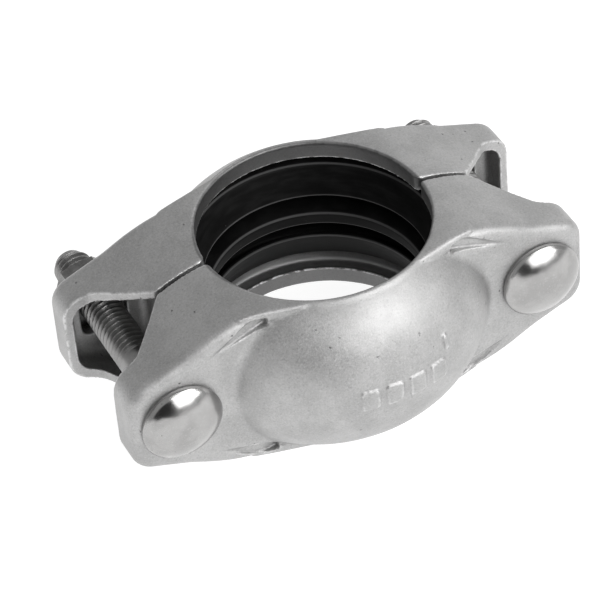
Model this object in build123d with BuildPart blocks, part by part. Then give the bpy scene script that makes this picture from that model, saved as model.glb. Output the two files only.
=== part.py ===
"""Two-piece grooved pipe coupling: cast half housings, gasket ring, track-head bolts and nuts.

Frame, in millimetres: Z is the pipe axis, X runs from ear to ear, Y is along the bolts.
The origin is the centre of the pipe bore. Bolt heads sit on the -Y side, nuts on +Y.
"""
import os
from math import atan2, cos, degrees, hypot, radians, sqrt

from build123d import *

# Pipe bore and half housings
bore_radius = 27.25
half_height = 22.2
split_gap = 1.2
lip_height = 4.6
bore_edge_round = 0.7
split_corner_round = 1.6
cut_margin = 1.0

# Dome over the gasket
dome_radius = 40.0
dome_edge_radius = 29.3
dome_edge_z = 21.3
dome_edge_step = 0.95
dome_blend = 3.0
dome_crease_y = 21.8
ledge_front_radius = 28.2
ledge_x = 29.6
ledge_y = 21.6
ledge_thickness = 2.5
ledge_round = 1.3
channel_radius = 37.0
channel_edge_radius = 30.3
channel_half = half_height - lip_height
rim_lowest_z = half_height - lip_height / 4

# Ears
ear_face_y = 22.6
ear_end_x = 58.5
shoulder_x = 31.5
waist_x = 45.0
waist_z = 15.8
ear_end_z = 11.0
shoulder_round = 45.0
waist_round = 25.0
ear_corner_round = 6.0
bend_radius = 2.8
wall = 2.3
plate_thickness = 3.3
web_radius = 39.4
web_blend = 2.4
apex_x = 40.4
rim_knee_x = 51.5
rim_knee_y = 12.6
rim_end_y = 13.8
rim_knee_round = 5.0

# Bolts, slots and nuts
bolt_x = 46.5
slot_length = 11.6
slot_width = 10.4
slot_corner_round = 2.0
neck_clearance = 0.3
neck_depth = 5.2
head_radius = 9.95
head_rim = 1.3
head_height = 5.2
head_edge_round = 0.5
thread_radius = 4.68
thread_root_radius = 3.77
thread_pitch = 25.4 / 16
thread_start_y = -0.4
thread_runout = 0.6
ridge_width = 0.85 * thread_pitch
ridge_crest_width = 0.15 * thread_pitch
bolt_end_y = 39.6
bolt_point_length = 1.0
bolt_point_radius = 3.3
nut_across_flats = 14.2
nut_height = 8.0
nut_bore_radius = 4.76
nut_face_gap = 0.05
nut_chamfer = 0.4
nut_corner_cut = 0.7
nut_bore_chamfer = 0.4
left_nut_turn = 18.25
right_nut_turn = 8.0

head_top_y = ear_face_y + head_height
thread_end_y = bolt_end_y - bolt_point_length
ridge_count = int((thread_end_y - thread_start_y) / thread_pitch)
nut_inner_y = ear_face_y + nut_face_gap
nut_outer_y = nut_inner_y + nut_height
nut_corner_radius = nut_across_flats / 2 / cos(radians(30))
nut_rim_radius = nut_corner_radius - nut_corner_cut

# Gasket
gasket_gap = 0.3
gasket_half = 14.2
gasket_corner = 0.8
lip_root_radius = 29.0
lip_root_z = gasket_half - 0.5
lip_tip_radius = 26.4
lip_tip_z = 6.3
lip_tip_width = 0.9
lip_tip_slope = 0.4
lip_inner_slope = 4.2
rib_radius = 25.4
rib_half = 1.9
rib_edge_round = 0.6
rib_root_round = 1.2
cavity_radius = 33.2
cavity_corner = 0.8

channel_rise = channel_radius - channel_edge_radius
channel_arc_radius = (channel_half**2 + channel_rise**2) / (2 * channel_rise)
channel_arc_centre = channel_radius - channel_arc_radius
gasket_radius = channel_radius - gasket_gap
gasket_arc_radius = channel_arc_radius - gasket_gap
gasket_side_half = gasket_half - gasket_corner
gasket_edge_radius = channel_arc_centre + sqrt(gasket_arc_radius**2 - gasket_side_half**2)

# Long hollows between the ear plates and the rims beside the dome
hollow_tip_x = 40.0
hollow_tip_z = 13.6
hollow_end_x = 23.4
hollow_depth = 1.4
hollow_upper_edge = ((36.0, 14.9), (31.4, 16.3), (27.0, 17.5), (hollow_end_x, 18.3))
hollow_lower_edge = ((hollow_end_x, 20.5), (26.0, 20.7), (29.0, 19.9), (32.2, 18.1), (36.0, 15.8))

# Plain raised marks on the front dome
mark_height = 0.5
mark_root = 1.0
mark_width = 4.2
mark_length = 5.4
mark_corner_round = 0.7
mark_pitch = 6.0
mark_count = 4
mark_centre_x = 2.0
mark_centre_z = 0.4
tick_x = 14.0
tick_z = 6.6
tick_width = 1.0
tick_length = 3.6
tick_corner_round = 0.4


def ear_profile(inset):
    """Front outline of both ears, moved inward by inset, on the bolt-normal plane."""
    end_x = ear_end_x - inset
    top_z = half_height - inset
    with BuildSketch(Plane.XZ) as outline:
        with BuildLine():
            FilletPolyline(
                (0, top_z),
                (shoulder_x, top_z),
                (waist_x, waist_z - inset),
                (end_x, ear_end_z - inset),
                (end_x, 0),
                radius=(shoulder_round, waist_round, ear_corner_round - inset / 2),
            )
            mirror(about=Plane.XZ)
            mirror(about=Plane.YZ)
        make_face()
    return outline.sketch


def dome_profile(growth):
    """Half section of the dome, from the pipe axis out to the wall grown by growth."""
    edge_radius = dome_edge_radius + growth
    with BuildSketch(Plane.XZ) as section:
        with BuildLine():
            Polyline(
                (edge_radius, -dome_edge_z),
                (edge_radius - dome_edge_step, -half_height),
                (0, -half_height),
                (0, half_height),
                (edge_radius - dome_edge_step, half_height),
                (edge_radius, dome_edge_z),
            )
            ThreePointArc(
                (edge_radius, dome_edge_z),
                (dome_radius + growth, 0),
                (edge_radius, -dome_edge_z),
            )
        make_face()
    return section.sketch


def channel_profile():
    """Half section of the space for the gasket, between the two lips."""
    with BuildSketch(Plane.XZ) as section:
        with BuildLine():
            Polyline(
                (channel_edge_radius, -channel_half),
                (0, -channel_half),
                (0, channel_half),
                (channel_edge_radius, channel_half),
            )
            ThreePointArc(
                (channel_edge_radius, channel_half),
                (channel_radius, 0),
                (channel_edge_radius, -channel_half),
            )
        make_face()
    return section.sketch


def rim_profile():
    """Plan of the wedge cut from each pair of ears, from the split line outward."""
    with BuildSketch(Plane.XY) as plan:
        with BuildLine():
            Polyline(
                (apex_x, split_gap),
                (apex_x, -split_gap / 2),
                (rim_knee_x, -rim_knee_y),
                (ear_end_x + cut_margin, -rim_end_y),
                (ear_end_x + cut_margin, split_gap),
                (apex_x, split_gap),
            )
        make_face()
        knee = plan.vertices().group_by(Axis.X)[1]
        fillet(knee, rim_knee_round)
        mirror(about=Plane.YZ)
    return plan.sketch


def on_bore_rim(edge):
    """Whether an edge lies where the bore meets the top or bottom surface."""
    middle = edge @ 0.5
    on_bore = abs(hypot(middle.X, middle.Y) - bore_radius) < 0.01
    return on_bore and abs(middle.Z) > rim_lowest_z


with BuildPart() as ear_pocket:
    extrude(ear_profile(wall), amount=ear_face_y - plate_thickness)
    extrude(ear_profile(wall), amount=-cut_margin)
    Cylinder(web_radius, 3 * half_height, mode=Mode.SUBTRACT)
    far_side = ear_pocket.faces().filter_by(Plane.XZ).sort_by(Axis.Y)[:2]
    fillet(far_side.edges(), web_blend)

with BuildPart() as dome_ledge:
    with BuildSketch(Plane.XY.offset(half_height - ledge_thickness)):
        Circle(ledge_front_radius)
        with Locations((0, -ledge_y / 2)):
            Rectangle(2 * ledge_x, ledge_y)
        make_hull()
        with Locations((0, -split_gap / 2)):
            Rectangle(
                4 * ledge_x,
                4 * ledge_x,
                align=(Align.CENTER, Align.MIN),
                mode=Mode.SUBTRACT,
            )
    extrude(amount=ledge_thickness)
    ledge_top = dome_ledge.faces().sort_by(Axis.Z)[-1]
    ledge_rim = ledge_top.edges().filter_by(lambda e: e.center().Y < -ledge_y)
    fillet(ledge_rim, ledge_round)
    mirror(about=Plane.XY)

with BuildPart() as hollow_cutters:
    slope = degrees(atan2(hollow_depth, hollow_tip_x - hollow_end_x))
    floor_plane = Plane(
        origin=(hollow_tip_x, -ear_face_y, 0),
        x_dir=(1, 0, 0),
        z_dir=(0, -1, 0),
    ).rotated((0, 0, -slope))
    with BuildSketch(floor_plane):
        with BuildLine():
            Polyline(
                *[(x - hollow_tip_x, z) for x, z in hollow_lower_edge],
                (0, hollow_tip_z),
                *[(x - hollow_tip_x, z) for x, z in hollow_upper_edge],
                close=True,
            )
        make_face()
    extrude(amount=3 * hollow_depth)
    mirror(about=Plane.XY)
    mirror(about=Plane.YZ)

with BuildPart() as half_housing:
    extrude(ear_profile(0), amount=ear_face_y)
    ear_faces = half_housing.faces().filter_by(Plane.XZ).sort_by(Axis.Y)
    fillet(ear_faces[0].edges(), bend_radius)
    revolve(dome_profile(0), Axis.Z)
    with Locations((0, -split_gap / 2, 0)):
        Box(
            4 * ear_end_x,
            4 * dome_radius,
            4 * half_height,
            align=(Align.CENTER, Align.MIN, Align.CENTER),
            mode=Mode.SUBTRACT,
        )
    crease = half_housing.edges().filter_by(GeomType.BSPLINE)
    fillet(crease.filter_by(lambda e: e.center().Y < -dome_crease_y), dome_blend)
    add(dome_ledge.part)
    add(hollow_cutters.part, mode=Mode.SUBTRACT)
    add(ear_pocket.part, mode=Mode.SUBTRACT)
    revolve(channel_profile(), Axis.Z, mode=Mode.SUBTRACT)
    Cylinder(bore_radius, 3 * half_height, mode=Mode.SUBTRACT)
    extrude(rim_profile(), amount=half_height, both=True, mode=Mode.SUBTRACT)
    with BuildSketch(Plane.XZ):
        with Locations((-bolt_x, 0), (bolt_x, 0)):
            RectangleRounded(slot_length, slot_width, slot_corner_round)
    extrude(amount=ear_face_y + cut_margin, mode=Mode.SUBTRACT)
    upright = half_housing.edges().filter_by(Axis.Z).group_by(Axis.Y)[-1]
    mouth = upright.filter_by(lambda e: abs(e.center().X) < bore_radius)
    fillet(mouth, split_corner_round)
    fillet(half_housing.edges().filter_by(on_bore_rim), bore_edge_round)
    extrude(ear_profile(0), amount=dome_radius + cut_margin, mode=Mode.INTERSECT)

with BuildPart() as size_marks:
    with BuildSketch(Plane.XZ.offset(ear_face_y)):
        with Locations((mark_centre_x, mark_centre_z)):
            with GridLocations(mark_pitch, 0, mark_count, 1):
                RectangleRounded(mark_width, mark_length, mark_corner_round)
        with Locations((tick_x, tick_z)):
            RectangleRounded(tick_width, tick_length, tick_corner_round)
    extrude(amount=dome_radius - ear_face_y + 2 * mark_height)
    revolve(dome_profile(mark_height), Axis.Z, mode=Mode.INTERSECT)
    revolve(dome_profile(-mark_root), Axis.Z, mode=Mode.SUBTRACT)

with BuildPart() as housing_front:
    add(half_housing.part)
    add(size_marks.part)

with BuildPart() as housing_back:
    add(half_housing.part, rotation=(0, 0, 180))

with BuildPart() as gasket:
    with BuildSketch(Plane.XZ):
        with BuildLine():
            Polyline(
                (gasket_edge_radius, gasket_side_half),
                (gasket_edge_radius - gasket_corner, gasket_half),
                (lip_root_radius + gasket_corner, gasket_half),
                (lip_root_radius, lip_root_z),
                (lip_tip_radius, lip_tip_z),
                (lip_tip_radius + lip_tip_width, lip_tip_z - lip_tip_slope),
                (cavity_radius - 4 * cavity_corner, lip_tip_z + lip_inner_slope),
                (cavity_radius - cavity_corner, lip_tip_z + lip_inner_slope),
                (cavity_radius, lip_tip_z + lip_inner_slope - 2 * cavity_corner),
                (cavity_radius, rib_half + rib_root_round),
                (cavity_radius - rib_root_round, rib_half),
                (rib_radius + rib_edge_round, rib_half),
                (rib_radius, rib_half - rib_edge_round),
                (rib_radius, 0),
            )
            mirror(about=Plane.XZ)
            ThreePointArc(
                (gasket_edge_radius, gasket_side_half),
                (gasket_radius, 0),
                (gasket_edge_radius, -gasket_side_half),
            )
        make_face()
    revolve(axis=Axis.Z)

with BuildPart() as track_bolt:
    with BuildSketch(Plane.XY):
        with BuildLine():
            Polyline(
                (0, -head_top_y),
                (0, bolt_end_y),
                (bolt_point_radius, bolt_end_y),
                (thread_root_radius, thread_end_y),
                (thread_root_radius, thread_start_y),
                (thread_radius, thread_start_y - thread_runout),
                (thread_radius, -ear_face_y),
                (head_radius, -ear_face_y),
                (head_radius, -ear_face_y - head_rim),
            )
            TangentArc(
                (0, -head_top_y),
                (head_radius, -ear_face_y - head_rim),
                tangent=(1, 0),
            )
        make_face()
        with Locations(*[(0, thread_end_y - i * thread_pitch) for i in range(ridge_count)]):
            Polygon(
                (0, 0),
                (thread_root_radius, 0),
                (thread_radius, -(ridge_width - ridge_crest_width) / 2),
                (thread_radius, -(ridge_width + ridge_crest_width) / 2),
                (thread_root_radius, -ridge_width),
                (0, -ridge_width),
                align=None,
            )
    revolve(axis=Axis.Y)
    with BuildSketch(Plane.XZ.offset(ear_face_y)):
        RectangleRounded(
            slot_length - 2 * neck_clearance,
            slot_width - 2 * neck_clearance,
            slot_corner_round - neck_clearance,
        )
    extrude(amount=-neck_depth)
    head_edge = track_bolt.edges().filter_by(GeomType.CIRCLE)
    head_edge = head_edge.filter_by(lambda e: abs(e.radius - head_radius) < 0.01)
    fillet(head_edge.sort_by(Axis.Y)[0], head_edge_round)

with BuildPart() as plain_nut:
    with BuildSketch(Plane.XZ.offset(-ear_face_y - nut_face_gap)):
        RegularPolygon(nut_across_flats / 2, 6, major_radius=False, rotation=30)
    extrude(amount=-nut_height)
    with BuildSketch(Plane.XY):
        with BuildLine():
            Polyline(
                (nut_bore_radius, nut_inner_y),
                (nut_rim_radius, nut_inner_y),
                (nut_corner_radius, nut_inner_y + nut_chamfer),
                (nut_corner_radius, nut_outer_y - nut_chamfer),
                (nut_rim_radius, nut_outer_y),
                (nut_bore_radius + nut_bore_chamfer, nut_outer_y),
                (nut_bore_radius, nut_outer_y - nut_bore_chamfer),
                (nut_bore_radius, nut_inner_y),
            )
        make_face()
    revolve(axis=Axis.Y, mode=Mode.INTERSECT)

with BuildPart() as bolt_left:
    with Locations((-bolt_x, 0, 0)):
        add(track_bolt.part)

with BuildPart() as bolt_right:
    with Locations((bolt_x, 0, 0)):
        add(track_bolt.part)

with BuildPart() as nut_left:
    with Locations((-bolt_x, 0, 0)):
        add(plain_nut.part, rotation=(0, left_nut_turn, 0))

with BuildPart() as nut_right:
    with Locations((bolt_x, 0, 0)):
        add(plain_nut.part, rotation=(0, right_nut_turn, 0))

housing_front.part.label = "housing_front"
housing_back.part.label = "housing_back"
gasket.part.label = "gasket"
bolt_left.part.label = "bolt_left"
bolt_right.part.label = "bolt_right"
nut_left.part.label = "nut_left"
nut_right.part.label = "nut_right"

os.makedirs("parts", exist_ok=True)
export_step(housing_front.part, "parts/housing_front.step")
export_step(housing_back.part, "parts/housing_back.step")
export_step(gasket.part, "parts/gasket.step")
export_step(bolt_left.part, "parts/bolt_left.step")
export_step(bolt_right.part, "parts/bolt_right.step")
export_step(nut_left.part, "parts/nut_left.step")
export_step(nut_right.part, "parts/nut_right.step")
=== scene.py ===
"""Looks of the grooved pipe coupling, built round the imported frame. All lengths are in metres.

Z is the pipe axis, X runs from ear to ear, and Y is along the bolts, from heads to nuts.
"""
import math

import bmesh
import bpy
import numpy as np
from mathutils import Matrix, Vector


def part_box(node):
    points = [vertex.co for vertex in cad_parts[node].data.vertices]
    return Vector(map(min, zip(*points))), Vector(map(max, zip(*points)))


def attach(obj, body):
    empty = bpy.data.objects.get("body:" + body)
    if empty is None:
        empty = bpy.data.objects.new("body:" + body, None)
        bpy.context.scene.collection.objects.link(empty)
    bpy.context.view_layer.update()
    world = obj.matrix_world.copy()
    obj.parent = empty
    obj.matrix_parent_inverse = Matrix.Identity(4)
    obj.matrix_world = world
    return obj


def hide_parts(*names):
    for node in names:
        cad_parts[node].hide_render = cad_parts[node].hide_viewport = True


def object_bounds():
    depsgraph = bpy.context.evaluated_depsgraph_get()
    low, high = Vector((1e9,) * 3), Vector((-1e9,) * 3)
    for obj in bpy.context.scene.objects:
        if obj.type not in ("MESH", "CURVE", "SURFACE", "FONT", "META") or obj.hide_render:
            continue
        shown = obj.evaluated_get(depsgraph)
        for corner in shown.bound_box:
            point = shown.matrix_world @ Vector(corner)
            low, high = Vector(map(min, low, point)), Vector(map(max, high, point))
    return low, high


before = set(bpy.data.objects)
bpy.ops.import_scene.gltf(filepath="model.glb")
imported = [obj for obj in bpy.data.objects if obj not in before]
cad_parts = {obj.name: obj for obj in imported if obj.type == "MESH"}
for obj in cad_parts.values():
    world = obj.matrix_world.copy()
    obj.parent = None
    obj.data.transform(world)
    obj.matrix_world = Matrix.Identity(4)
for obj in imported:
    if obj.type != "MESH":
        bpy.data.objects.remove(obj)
cad_low, cad_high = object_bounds()

MM = 0.001
TAU = 2 * math.pi

# Camera
CAMERA_AZIMUTH = -23.69
CAMERA_ELEVATION = 42.35
CAMERA_ROLL = 4.91
CAMERA_DISTANCE = 783.32 * MM
CAMERA_RIGHT = -4.338 * MM
CAMERA_UP = -2.315 * MM
CAMERA_LENS = 201.2

# Housings: how finely they are meshed
VOXEL = 0.30 * MM
MAX_TRIANGLES = 190000

# Inner surfaces of a housing, painted darker as shade, in millimetres: the bore, whose edge at the
# channel has a worn line that is partly a painted highlight, the half height of the gasket channel,
# the middle of the channel's side walls, where a painted light band runs, and the radius within
# which a surface counts as inner at mid height, which falls by a bulge times the height squared
BORE_RADIUS = 27.25
CHANNEL_HALF = 17.6
CHANNEL_WALL_RADIUS = 29.2
INNER_RADIUS = 38.0
INNER_FADE_RADIUS = 38.6
INNER_BULGE = 0.0216

# Bolts and nuts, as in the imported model
BOLT_X = 46.5 * MM
EAR_FACE = 22.6 * MM
HEAD_RADIUS = 9.95 * MM
HEAD_RIM = 1.3 * MM
HEAD_HEIGHT = 5.2 * MM
NECK_HALF_LENGTH = 5.5 * MM
NECK_HALF_WIDTH = 4.9 * MM
NECK_CORNER = 1.7 * MM
NECK_DEPTH = 5.2 * MM
THREAD_RADIUS = 4.68 * MM
THREAD_ROOT = 3.77 * MM
THREAD_PITCH = 25.4 / 16 * MM
THREAD_START = -0.4 * MM
BOLT_END = 39.6 * MM
POINT_RADIUS = 3.3 * MM
POINT_LENGTH = 1.0 * MM
FLANK_SLOPE = 2.9
ROOT_FLAT = 0.22
NUT_APOTHEM = 7.1 * MM
NUT_HEIGHT = 8.0 * MM
NUT_BORE = 4.76 * MM
NUT_GAP = 0.05 * MM

# Gasket back: an arc through the widest point and the two side edges, in millimetres
GASKET_RADIUS = 36.7
GASKET_BACK_ROUND = 26.17
GASKET_SIDE = 13.4

# Gasket edges with a painted pale highlight line, as radius and height in millimetres: lip tips,
# rib, shoulders
GASKET_HIGHLIGHT_EDGES = ((26.45, 6.35), (25.5, 1.6), (29.3, 14.1))


# ---------------------------------------------------------------- materials

class Nodes:
    """A material's node tree, with short calls that add and join nodes."""

    def __init__(self, name):
        self.material = bpy.data.materials.new(name)
        self.material.use_nodes = True
        self.tree = self.material.node_tree
        self.shader = self.tree.nodes["Principled BSDF"]
        self.place = self.add("ShaderNodeTexCoord").outputs["Object"]

    def add(self, kind, **settings):
        node = self.tree.nodes.new(kind)
        for key, value in settings.items():
            setattr(node, key, value)
        return node

    def join(self, source, target):
        if isinstance(source, (int, float, tuple)):
            target.default_value = source
        else:
            self.tree.links.new(source, target)

    def noise(self, size, detail=3.0, rough=0.5, stretch=None):
        """Noise from 0 to 1 with features about size metres across."""
        node = self.add("ShaderNodeTexNoise")
        place = self.place
        if stretch:
            mapping = self.add("ShaderNodeMapping")
            mapping.inputs["Scale"].default_value = stretch
            self.join(place, mapping.inputs["Vector"])
            place = mapping.outputs["Vector"]
        self.join(place, node.inputs["Vector"])
        node.inputs["Scale"].default_value = 1 / size
        node.inputs["Detail"].default_value = detail
        node.inputs["Roughness"].default_value = rough
        return node.outputs["Fac"]

    def cells(self, size):
        """Distance from scattered points about size metres apart, and their random colour."""
        node = self.add("ShaderNodeTexVoronoi")
        self.join(self.place, node.inputs["Vector"])
        node.inputs["Scale"].default_value = 1 / size
        return node.outputs["Distance"], node.outputs["Color"]

    def band(self, value, low, high, out_low=0.0, out_high=1.0):
        """Value mapped smoothly from low..high to out_low..out_high, and held past them."""
        node = self.add("ShaderNodeMapRange", interpolation_type="SMOOTHSTEP")
        self.join(value, node.inputs["Value"])
        node.inputs["From Min"].default_value = low
        node.inputs["From Max"].default_value = high
        node.inputs["To Min"].default_value = out_low
        node.inputs["To Max"].default_value = out_high
        return node.outputs["Result"]

    def math(self, operation, first, second=0.0):
        node = self.add("ShaderNodeMath", operation=operation)
        self.join(first, node.inputs[0])
        self.join(second, node.inputs[1])
        return node.outputs[0]

    def mix(self, share, first, second):
        """Colour that goes from first to second as share goes from 0 to 1."""
        node = self.add("ShaderNodeMix", data_type="RGBA")
        self.join(share, node.inputs[0])
        self.join(first, node.inputs[6])
        self.join(second, node.inputs[7])
        return node.outputs[2]

    def edges(self, low, high):
        """1 on convex edges and 0 on flat or hollow surfaces, from the mesh's own curvature."""
        curve = self.add("ShaderNodeAttribute", attribute_name="curve")
        return self.band(curve.outputs["Fac"], low, high)

    def axes(self):
        """The three object coordinates, in millimetres."""
        split = self.add("ShaderNodeSeparateXYZ")
        self.join(self.place, split.inputs[0])
        return [self.math("MULTIPLY", axis, 1000.0) for axis in split.outputs]

    def length(self, first, second):
        squares = self.math("MULTIPLY", first, first), self.math("MULTIPLY", second, second)
        return self.math("SQRT", self.math("ADD", *squares))

    def ring_line(self, radius, height, width):
        """1 along the two circles of that radius, at that height above and below the middle."""
        x, y, z = self.axes()
        off_radius = self.math("SUBTRACT", self.length(x, y), radius)
        off_height = self.math("SUBTRACT", self.math("ABSOLUTE", z), height)
        return self.band(self.length(off_radius, off_height), 0.4 * width, width, 1.0, 0.0)

    def inside(self):
        """Mask for painted shade: 1 on the surfaces round the gasket and in the bore, and 0 on the
        rest of a housing.
        """
        x, y, z = self.axes()
        bulge = self.math("MULTIPLY", self.math("MULTIPLY", z, z), INNER_BULGE)
        reach = self.math("ADD", self.length(x, y), bulge)
        return self.band(reach, INNER_RADIUS, INNER_FADE_RADIUS, 1.0, 0.0)

    def bump(self, height, depth, base=None):
        node = self.add("ShaderNodeBump")
        node.inputs["Strength"].default_value = 1.0
        node.inputs["Distance"].default_value = depth
        self.join(height, node.inputs["Height"])
        if base is not None:
            self.join(base, node.inputs["Normal"])
        return node.outputs["Normal"]

    def finish(self, colour, rough, normal, metallic=1.0, **plain):
        self.join(colour, self.shader.inputs["Base Color"])
        self.join(rough, self.shader.inputs["Roughness"])
        self.join(normal, self.shader.inputs["Normal"])
        self.shader.inputs["Metallic"].default_value = metallic
        for name, value in plain.items():
            self.shader.inputs[name.replace("_", " ")].default_value = value
        return self.material


def grey(value, warm=0.0):
    return (value * (1 + warm), value, value * (1 - warm), 1.0)


def cast_steel():
    m = Nodes("blasted_cast_steel")
    grain = m.noise(0.45 * MM, 4.0, 0.75)
    cloud = m.noise(9 * MM, 4.0, 0.6)
    speck = m.noise(0.5 * MM, 3.0)
    pit_gap, pit_kind = m.cells(3.6 * MM)
    ragged = m.math("ADD", pit_gap, m.math("MULTIPLY", m.math("SUBTRACT", speck, 0.5), 0.34))
    pit = m.math("MULTIPLY", m.band(ragged, 0.02, 0.10, 1.0, 0.0), m.band(pit_kind, 0.54, 0.58))
    wear_and_highlight_patches = m.band(m.noise(1.8 * MM, 3.0, 0.6), 0.36, 0.60)
    edge = m.math("MULTIPLY", m.edges(0.035, 0.11), wear_and_highlight_patches)
    hollow = m.edges(-0.10, -0.03)
    inside = m.inside()
    body = m.mix(m.band(cloud, 0.35, 0.65), grey(0.42, 0.004), grey(0.49, 0.004))
    body = m.mix(m.math("MULTIPLY", m.band(grain, 0.48, 0.66), 0.28), body, grey(0.76))
    body = m.mix(m.math("MULTIPLY", m.band(grain, 0.34, 0.48, 1.0, 0.0), 0.26), body, grey(0.24))
    body = m.mix(m.math("MULTIPLY", m.band(speck, 0.30, 0.46, 1.0, 0.0), 0.35), body, grey(0.26))
    # Convex edges: bright wear, and also a painted highlight along the ridges and burrs
    body = m.mix(m.math("MULTIPLY", edge, 0.60), body, grey(0.85))
    body = m.mix(m.math("MULTIPLY", pit, 0.75), body, grey(0.12))
    # Painted shade: hollows and creases darkened
    body = m.mix(m.math("MULTIPLY", m.math("SUBTRACT", 1.0, hollow), 0.48), body, grey(0.18))
    # Painted shade: the surfaces round the gasket and in the bore darkened
    body = m.mix(m.math("MULTIPLY", inside, 0.68), body, grey(0.07))
    # Painted light: a pale band on the channel's side faces, offsetting their shade
    painted_channel_light = m.ring_line(CHANNEL_WALL_RADIUS, CHANNEL_HALF, 1.9)
    body = m.mix(m.math("MULTIPLY", painted_channel_light, 0.8), body, grey(0.80))
    # The bore's edge at the channel: a worn bright line, partly a painted highlight
    rim = m.ring_line(BORE_RADIUS, CHANNEL_HALF, 0.45)
    body = m.mix(m.math("MULTIPLY", rim, wear_and_highlight_patches), body, grey(0.90))
    rough = m.band(grain, 0.3, 0.7, 0.44, 0.58)
    normal = m.bump(grain, 0.040 * MM)
    normal = m.bump(m.math("SUBTRACT", 1.0, pit), 0.05 * MM, normal)
    return m.finish(body, rough, normal)


def bolt_steel():
    m = Nodes("tumbled_steel")
    grain = m.noise(0.4 * MM, 3.0, 0.6)
    dent = m.noise(4.5 * MM, 1.0)
    cloud = m.noise(5 * MM, 3.0)
    pit_gap, pit_kind = m.cells(2.0 * MM)
    pit = m.math("MULTIPLY", m.band(pit_gap, 0.04, 0.12, 1.0, 0.0), m.band(pit_kind, 0.60, 0.66))
    shank = m.band(m.axes()[1], -20.0, -17.5)
    body = m.mix(m.band(cloud, 0.35, 0.65), grey(0.36, 0.01), grey(0.42, 0.01))
    body = m.mix(m.math("MULTIPLY", m.band(grain, 0.55, 0.75), 0.25), body, grey(0.70))
    body = m.mix(m.math("MULTIPLY", pit, 0.5), body, grey(0.12))
    body = m.mix(m.math("MULTIPLY", shank, 0.36), body, grey(0.12))
    rough = m.math("ADD", m.band(dent, 0.3, 0.7, 0.16, 0.24), m.math("MULTIPLY", shank, 0.14))
    normal = m.bump(dent, 0.16 * MM)
    normal = m.bump(grain, 0.008 * MM, normal)
    return m.finish(body, rough, normal)


def nut_steel():
    m = Nodes("dull_steel")
    grain = m.noise(0.5 * MM, 3.0, 0.6)
    cloud = m.noise(3 * MM, 3.0)
    body = m.mix(m.band(cloud, 0.35, 0.65), grey(0.16, 0.01), grey(0.24, 0.01))
    body = m.mix(m.math("MULTIPLY", m.band(grain, 0.5, 0.75), 0.35), body, grey(0.40))
    rough = m.band(grain, 0.3, 0.7, 0.30, 0.44)
    normal = m.bump(grain, 0.04 * MM)
    return m.finish(body, rough, normal)


def rubber():
    m = Nodes("moulded_rubber")
    grain = m.noise(0.35 * MM, 3.0, 0.6)
    smear = m.noise(7 * MM, 4.0, 0.6, (1.0, 1.0, 5.0))
    dust_gap, dust_kind = m.cells(1.6 * MM)
    dust = m.math("MULTIPLY", m.band(dust_gap, 0.05, 0.11, 1.0, 0.0), m.band(dust_kind, 0.82, 0.86))
    body = m.mix(m.band(smear, 0.4, 0.7), grey(0.006), grey(0.012))
    # Painted highlights: pale lines along the gasket's lip tips, rib and shoulders
    for radius, height in GASKET_HIGHLIGHT_EDGES:
        body = m.mix(m.math("MULTIPLY", m.ring_line(radius, height, 0.45), 0.8), body, grey(0.11))
    body = m.mix(m.math("MULTIPLY", dust, 0.5), body, grey(0.12))
    rough = m.band(smear, 0.3, 0.7, 0.42, 0.56)
    normal = m.bump(grain, 0.015 * MM)
    return m.finish(body, rough, normal, metallic=0.0, Specular_IOR_Level=0.08)


# ---------------------------------------------------------------- meshes

def new_object(name, vertices, faces, material, smooth_angle=35):
    mesh = bpy.data.meshes.new(name)
    mesh.from_pydata(vertices, [], faces)
    mesh.validate()
    made = bpy.data.objects.new(name, mesh)
    bpy.context.scene.collection.objects.link(made)
    mesh.materials.append(material)
    shade(made, smooth_angle)
    return made


def shade(made, angle):
    """Smooth shading, with sharp edges where faces meet at more than angle degrees."""
    made.data.polygons.foreach_set("use_smooth", [True] * len(made.data.polygons))
    work = bmesh.new()
    work.from_mesh(made.data)
    bmesh.ops.recalc_face_normals(work, faces=work.faces)
    limit = math.radians(angle)
    for edge in work.edges:
        edge.smooth = len(edge.link_faces) == 2 and edge.calc_face_angle(0) < limit
    work.to_mesh(made.data)
    work.free()


def store_curve(made, reach):
    """Stores, as curve, how far each vertex stands proud of those within reach edges, in mm."""
    mesh = made.data
    count = len(mesh.vertices)
    points = np.empty(count * 3, np.float32)
    mesh.vertices.foreach_get("co", points)
    points = points.reshape(-1, 3).astype(np.float64) * 1000
    normals = np.empty(count * 3, np.float32)
    mesh.vertices.foreach_get("normal", normals)
    normals = normals.reshape(-1, 3)
    ends = np.empty(len(mesh.edges) * 2, np.int32)
    mesh.edges.foreach_get("vertices", ends)
    first, second = ends.reshape(-1, 2).T
    degree = np.bincount(first, minlength=count) + np.bincount(second, minlength=count)

    def average(values):
        ahead = np.bincount(first, values[second], count)
        behind = np.bincount(second, values[first], count)
        return (ahead + behind) / np.maximum(degree, 1)

    around = points.copy()
    for _ in range(reach):
        around = np.stack([average(around[:, k]) for k in range(3)], axis=1)
    proud = np.einsum("ij,ij->i", points - around, normals)
    for _ in range(2):
        proud = 0.5 * proud + 0.5 * average(proud)
    layer = mesh.attributes.new("curve", "FLOAT", "POINT")
    layer.data.foreach_set("value", proud.astype(np.float32))


def apply_modifiers(made):
    graph = bpy.context.evaluated_depsgraph_get()
    mesh = bpy.data.meshes.new_from_object(made.evaluated_get(graph))
    made.modifiers.clear()
    made.data = mesh


def cloud_texture(name, size):
    texture = bpy.data.textures.new(name, "CLOUDS")
    texture.noise_scale = size
    texture.noise_depth = 2
    return texture


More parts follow.
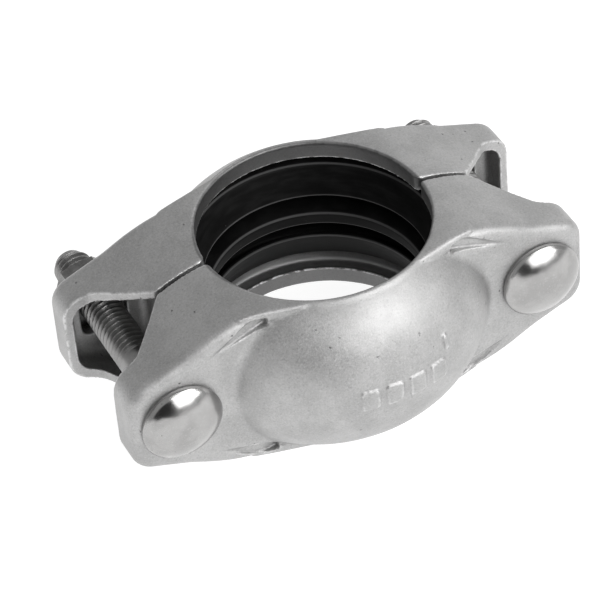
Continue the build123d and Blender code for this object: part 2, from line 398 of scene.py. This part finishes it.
def cast_copy(node, body, name, material):
    """A cast version of a CAD node: soft edges and a slightly uneven surface."""
    made = bpy.data.objects.new(name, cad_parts[node].data.copy())
    bpy.context.scene.collection.objects.link(made)
    remesh = made.modifiers.new("remesh", "REMESH")
    remesh.mode = "VOXEL"
    remesh.voxel_size = VOXEL
    smooth = made.modifiers.new("smooth", "SMOOTH")
    smooth.factor = 0.5
    smooth.iterations = 2
    for label, size, strength in (("swell", 8 * MM, 0.12 * MM), ("grit", 1.6 * MM, 0.02 * MM)):
        wave = made.modifiers.new(label, "DISPLACE")
        wave.texture = cloud_texture(f"{name}_{label}", size)
        wave.texture_coords = "LOCAL"
        wave.strength = strength
        wave.mid_level = 0.5
    apply_modifiers(made)
    made.data.calc_loop_triangles()
    triangles = len(made.data.loop_triangles)
    if triangles > MAX_TRIANGLES:
        thin = made.modifiers.new("thin", "DECIMATE")
        thin.ratio = MAX_TRIANGLES / triangles
        apply_modifiers(made)
    low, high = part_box(node)
    points = np.empty(len(made.data.vertices) * 3, np.float32)
    made.data.vertices.foreach_get("co", points)
    points = np.clip(points.reshape(-1, 3), np.array(low), np.array(high))
    made.data.vertices.foreach_set("co", points.ravel())
    made.data.polygons.foreach_set("use_smooth", [True] * len(made.data.polygons))
    made.data.materials.clear()
    made.data.materials.append(material)
    made.data.update()
    store_curve(made, reach=4)
    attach(made, body)
    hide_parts(node)


def rings_to_mesh(rings, count):
    """Vertices and faces of a closed skin over rings of count points, with a point at each end."""
    vertices = [point for ring in rings for point in ring]
    faces = []
    for row in range(len(rings) - 1):
        for i in range(count):
            j = (i + 1) % count
            a, b = row * count, (row + 1) * count
            faces.append((a + i, a + j, b + j, b + i))
    for row, flip in ((0, True), (len(rings) - 1, False)):
        ring = np.array(rings[row])
        vertices.append(tuple(ring.mean(axis=0)))
        tip = len(vertices) - 1
        for i in range(count):
            j = (i + 1) % count
            a, b = row * count + i, row * count + j
            faces.append((tip, b, a) if flip else (tip, a, b))
    return vertices, faces


def thread_height(share):
    """Height of the thread, from 0 at the root to 1 at the crest, at a share of the pitch."""
    share = share % 1.0
    return min(1.0, max(0.0, (0.5 - abs(share - 0.5)) * FLANK_SLOPE - ROOT_FLAT))


def neck_radius(angle):
    """Distance to the side of the neck, a rounded rectangle, at an angle from its long side."""
    c, t = abs(math.cos(angle)), abs(math.sin(angle))
    side = min(NECK_HALF_LENGTH / max(c, 1e-9), NECK_HALF_WIDTH / max(t, 1e-9))
    x, z = NECK_HALF_LENGTH - NECK_CORNER, NECK_HALF_WIDTH - NECK_CORNER
    along = x * c + z * t
    corner = along + math.sqrt(max(0.0, along ** 2 - x ** 2 - z ** 2 + NECK_CORNER ** 2))
    in_corner = side * c > x and side * t > z
    return corner if in_corner else side


def track_bolt(name, centre_x, material, phase, seed):
    """A bolt with a domed head, a square-cornered neck and a rolled right-hand thread."""
    count = 60
    angles = [TAU * i / count for i in range(count)]
    random = np.random.default_rng(seed)
    wobble = random.uniform(0, TAU, 4)
    rings = []

    def ring(y, radius):
        points = []
        for angle in angles:
            r = radius(angle) if callable(radius) else radius
            points.append((centre_x + r * math.sin(angle), y, r * math.cos(angle)))
        rings.append(points)

    # Domed head: an arc through the crown and the rim
    drop = HEAD_HEIGHT - HEAD_RIM
    sphere = (HEAD_RADIUS ** 2 + drop ** 2) / (2 * drop)
    crown_y = -EAR_FACE - HEAD_HEIGHT
    half_angle = math.asin((HEAD_RADIUS - 0.45 * MM) / sphere)
    for i in range(1, 25):
        a = half_angle * i / 24
        r = sphere * math.sin(a)
        y = crown_y + sphere * (1 - math.cos(a))
        ring(y, r)
    rim_y = -EAR_FACE - HEAD_RIM
    ring(rim_y - 0.02 * MM, HEAD_RADIUS - 0.20 * MM)
    ring(rim_y + 0.12 * MM, HEAD_RADIUS - 0.06 * MM)

    def rough_rim(angle):
        waves = sum(math.sin((k + 3) * angle + w) / (k + 3) for k, w in enumerate(wobble))
        return HEAD_RADIUS - 0.03 * MM + 0.03 * MM * waves

    ring(rim_y + 0.35 * MM, rough_rim)
    ring(-EAR_FACE - 0.45 * MM, rough_rim)
    ring(-EAR_FACE - 0.15 * MM, HEAD_RADIUS - 0.12 * MM)
    ring(-EAR_FACE, HEAD_RADIUS - 0.35 * MM)
    ring(-EAR_FACE, lambda a: neck_radius(a - math.pi / 2))
    ring(-EAR_FACE + NECK_DEPTH - 0.6 * MM, lambda a: neck_radius(a - math.pi / 2))
    ring(-EAR_FACE + NECK_DEPTH, lambda a: neck_radius(a - math.pi / 2) - 0.5 * MM)
    ring(-EAR_FACE + NECK_DEPTH, THREAD_RADIUS)
    steps = 8
    for i in range(1, steps):
        y = -EAR_FACE + NECK_DEPTH + (THREAD_START + EAR_FACE - NECK_DEPTH) * i / steps
        ring(y, THREAD_RADIUS)
    end_y = BOLT_END - POINT_LENGTH
    rows = int((end_y - THREAD_START) / (THREAD_PITCH / 16))
    for i in range(rows + 1):
        y = THREAD_START + (end_y - THREAD_START) * i / rows
        fade_in = min(1.0, (y - THREAD_START) / (1.2 * THREAD_PITCH))
        fade_out = min(1.0, (end_y - y) / (0.6 * THREAD_PITCH))

        def threaded(angle, y=y, fade_in=fade_in, fade_out=fade_out):
            height = thread_height(y / THREAD_PITCH - angle / TAU + phase)
            root = THREAD_ROOT + (THREAD_RADIUS - THREAD_ROOT) * (1 - fade_in)
            return root + (THREAD_RADIUS - root) * height * fade_out

        ring(y, threaded)
    ring(end_y + 0.35 * MM, THREAD_ROOT - 0.12 * MM)
    ring(end_y + 0.75 * MM, POINT_RADIUS + 0.28 * MM)
    ring(BOLT_END - 0.05 * MM, POINT_RADIUS)
    ring(BOLT_END, POINT_RADIUS - 0.35 * MM)
    vertices, faces = rings_to_mesh(rings, count)
    return new_object(name, vertices, faces, material, 40)


def hex_nut(name, centre_x, turn, material):
    """A hex nut with chamfered corners and a countersunk bore, turned by degrees."""
    count = 96
    turned = math.radians(turn + 30)
    inner_y = EAR_FACE + NUT_GAP
    outer_y = inner_y + NUT_HEIGHT
    corner = NUT_APOTHEM / math.cos(math.pi / 6)
    rings = []

    def ring(y, limit):
        points = []
        for i in range(count):
            angle = TAU * i / count
            side = (angle + math.pi / 6) % (math.pi / 3) - math.pi / 6
            r = min(NUT_APOTHEM / math.cos(side), limit)
            a = angle + turned
            points.append((centre_x + r * math.sin(a), y, r * math.cos(a)))
        rings.append(points)

    ring(inner_y, NUT_BORE)
    ring(inner_y, NUT_APOTHEM - 0.5 * MM)
    chamfer = [(0.0, 0.72), (0.06, 0.60), (0.18, 0.36), (0.32, 0.12), (0.44, 0.0)]
    for depth, cut in chamfer:
        ring(inner_y + depth * MM, corner - cut * MM)
    for depth, cut in reversed(chamfer):
        ring(outer_y - depth * MM, corner - cut * MM)
    ring(outer_y, NUT_APOTHEM - 0.5 * MM)
    ring(outer_y, NUT_BORE + 0.4 * MM)
    ring(outer_y - 0.4 * MM, NUT_BORE)
    vertices = [point for points in rings for point in points]
    faces = []
    total = len(rings)
    for row in range(total):
        below = (row + 1) % total
        for i in range(count):
            j = (i + 1) % count
            faces.append((row * count + i, row * count + j, below * count + j, below * count + i))
    return new_object(name, vertices, faces, material, 30)


def round_corners(points, radii, steps=5):
    """A closed outline with its corners rounded, as a list of points."""
    out = []
    total = len(points)
    for i, (x, z) in enumerate(points):
        before = Vector(points[i - 1]) - Vector((x, z))
        after = Vector(points[(i + 1) % total]) - Vector((x, z))
        reach = min(radii[i], before.length * 0.45, after.length * 0.45)
        if reach < 1e-6:
            out.append((x, z))
            continue
        start = Vector((x, z)) + before.normalized() * reach
        end = Vector((x, z)) + after.normalized() * reach
        for k in range(steps + 1):
            t = k / steps
            p = start * (1 - t) ** 2 + Vector((x, z)) * 2 * t * (1 - t) + end * t ** 2
            out.append((p.x, p.y))
    return out


def gasket_ring(name, material):
    """The C-shaped gasket: two sealing lips, a centre rib and a curved back."""
    upper = [
        (33.0, 13.4, 0.4), (32.2, 14.2, 0.4), (29.8, 14.2, 0.4), (29.0, 13.7, 0.5),
        (26.4, 6.3, 0.35), (27.3, 5.9, 0.4), (30.0, 10.5, 1.0), (32.4, 10.5, 0.7),
        (33.2, 8.9, 0.8), (33.2, 3.1, 1.0), (32.0, 1.9, 1.0), (25.9, 1.9, 0.4), (25.4, 1.3, 0.4),
    ]
    lower = [(r, -z, round_) for r, z, round_ in reversed(upper)]
    back = []
    steps = 18
    centre = GASKET_RADIUS - GASKET_BACK_ROUND
    for i in range(1, steps):
        z = -GASKET_SIDE + 2 * GASKET_SIDE * i / steps
        back.append((centre + math.sqrt(GASKET_BACK_ROUND ** 2 - z ** 2), z, 0.0))
    outline = upper + lower + back
    section = round_corners([(r, z) for r, z, _ in outline], [x for _, _, x in outline])
    count = 240
    vertices, faces = [], []
    size = len(section)
    for i in range(count):
        angle = TAU * i / count
        drift = 0.05 * math.sin(2 * angle + 0.7) + 0.03 * math.sin(5 * angle + 2.0)
        for r, z in section:
            free = max(0.0, min(1.0, (30.5 - r) / 3.0))
            shift = drift * free
            vertices.append((
                (r + 0.5 * shift) * MM * math.cos(angle),
                (r + 0.5 * shift) * MM * math.sin(angle),
                (z + shift) * MM,
            ))
    for i in range(count):
        j = (i + 1) % count
        for k in range(size):
            n = (k + 1) % size
            faces.append((i * size + k, j * size + k, j * size + n, i * size + n))
    return new_object(name, vertices, faces, material, 40)


# ---------------------------------------------------------------- the object

steel = cast_steel()
cast_copy("housing_front", "front_half", "front_housing_cast", steel)
cast_copy("housing_back", "back_half", "back_housing_cast", steel)

bright = bolt_steel()
dull = nut_steel()
# Side, bolt centre, turn of the nut in degrees, phase of the thread, seed for the head's rim
fasteners = (
    ("left", -BOLT_X, 18.25, 0.35, 3),
    ("right", BOLT_X, 8.0, 0.8, 8),
)
for side, centre_x, turn, phase, seed in fasteners:
    bolt = track_bolt(f"{side}_bolt_turned", centre_x, bright, phase, seed)
    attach(bolt, "front_half")
    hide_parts(f"bolt_{side}")
    nut = hex_nut(f"{side}_nut_milled", centre_x, turn, dull)
    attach(nut, f"{side}_nut")
    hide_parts(f"nut_{side}")

seal = gasket_ring("gasket_moulded", rubber())
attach(seal, "seal")
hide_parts("gasket")


# ---------------------------------------------------------------- stage, lights and camera

def floor_material():
    """A pale light table: it glows a little, so the ground under the part stays pale."""
    made = bpy.data.materials.new("pale_floor")
    made.use_nodes = True
    shader = made.node_tree.nodes["Principled BSDF"]
    shader.inputs["Base Color"].default_value = grey(0.35)
    shader.inputs["Roughness"].default_value = 0.9
    shader.inputs["Specular IOR Level"].default_value = 0.1
    shader.inputs["Emission Color"].default_value = grey(1.0)
    shader.inputs["Emission Strength"].default_value = 0.90
    return made


floor_half = 3.0
floor_z = cad_low.z - 0.02 * MM
corners = [
    (-floor_half, -floor_half),
    (floor_half, -floor_half),
    (floor_half, floor_half),
    (-floor_half, floor_half),
]
floor = new_object(
    "floor",
    [(x, y, floor_z) for x, y in corners],
    [(0, 1, 2, 3)],
    floor_material(),
)


def area_light(name, direction, distance, width, height, power):
    """A soft box that faces the object from a direction."""
    data = bpy.data.lights.new(name, "AREA")
    data.shape = "RECTANGLE"
    data.size = width
    data.size_y = height
    data.energy = power
    lamp = bpy.data.objects.new(name, data)
    bpy.context.scene.collection.objects.link(lamp)
    away = Vector(direction).normalized()
    lamp.location = away * distance
    lamp.rotation_mode = "QUATERNION"
    lamp.rotation_quaternion = away.to_track_quat("Z", "Y")


area_light("key_box", (0.33, -0.73, 0.54), distance=0.8, width=0.80, height=0.55, power=4.7)
area_light("back_box", (0.80, 0.45, 0.50), distance=1.2, width=1.2, height=1.0, power=1.9)

# A studio of even light, with the dark room showing low down in front
world = bpy.data.worlds.new("studio")
world.use_nodes = True
nodes, links = world.node_tree.nodes, world.node_tree.links
facing = nodes.new("ShaderNodeVectorMath")
facing.operation = "DOT_PRODUCT"
links.new(nodes.new("ShaderNodeTexCoord").outputs["Generated"], facing.inputs[0])
dark_side = Vector((-0.28, -0.95, 0.14))
facing.inputs[1].default_value = dark_side.normalized()
darkness = nodes.new("ShaderNodeMapRange")
darkness.interpolation_type = "SMOOTHSTEP"
for field, value in (("From Min", 0.86), ("From Max", 0.95), ("To Min", 0.47), ("To Max", 0.03)):
    darkness.inputs[field].default_value = value
links.new(facing.outputs["Value"], darkness.inputs["Value"])
links.new(darkness.outputs["Result"], nodes["Background"].inputs["Strength"])
nodes["Background"].inputs["Color"].default_value = grey(1.0)
bpy.context.scene.world = world
bpy.context.scene.view_settings.view_transform = "Standard"

azimuth, elevation = math.radians(CAMERA_AZIMUTH), math.radians(CAMERA_ELEVATION)
back = Vector((
    math.sin(azimuth) * math.cos(elevation),
    -math.cos(azimuth) * math.cos(elevation),
    math.sin(elevation),
))
level = Vector((math.cos(azimuth), math.sin(azimuth), 0))
upright = back.cross(level)
roll = math.radians(CAMERA_ROLL)
right = level * math.cos(roll) - upright * math.sin(roll)
up = level * math.sin(roll) + upright * math.cos(roll)
camera_data = bpy.data.cameras.new("camera")
camera_data.sensor_width = 36
camera_data.lens = CAMERA_LENS
camera_data.clip_start = 0.01
camera_data.clip_end = 20
camera = bpy.data.objects.new("camera", camera_data)
bpy.context.scene.collection.objects.link(camera)
place = back * CAMERA_DISTANCE + right * CAMERA_RIGHT + up * CAMERA_UP
turn = Matrix((right, up, back)).transposed().to_4x4()
camera.matrix_world = Matrix.Translation(place) @ turn
bpy.context.scene.camera = camera
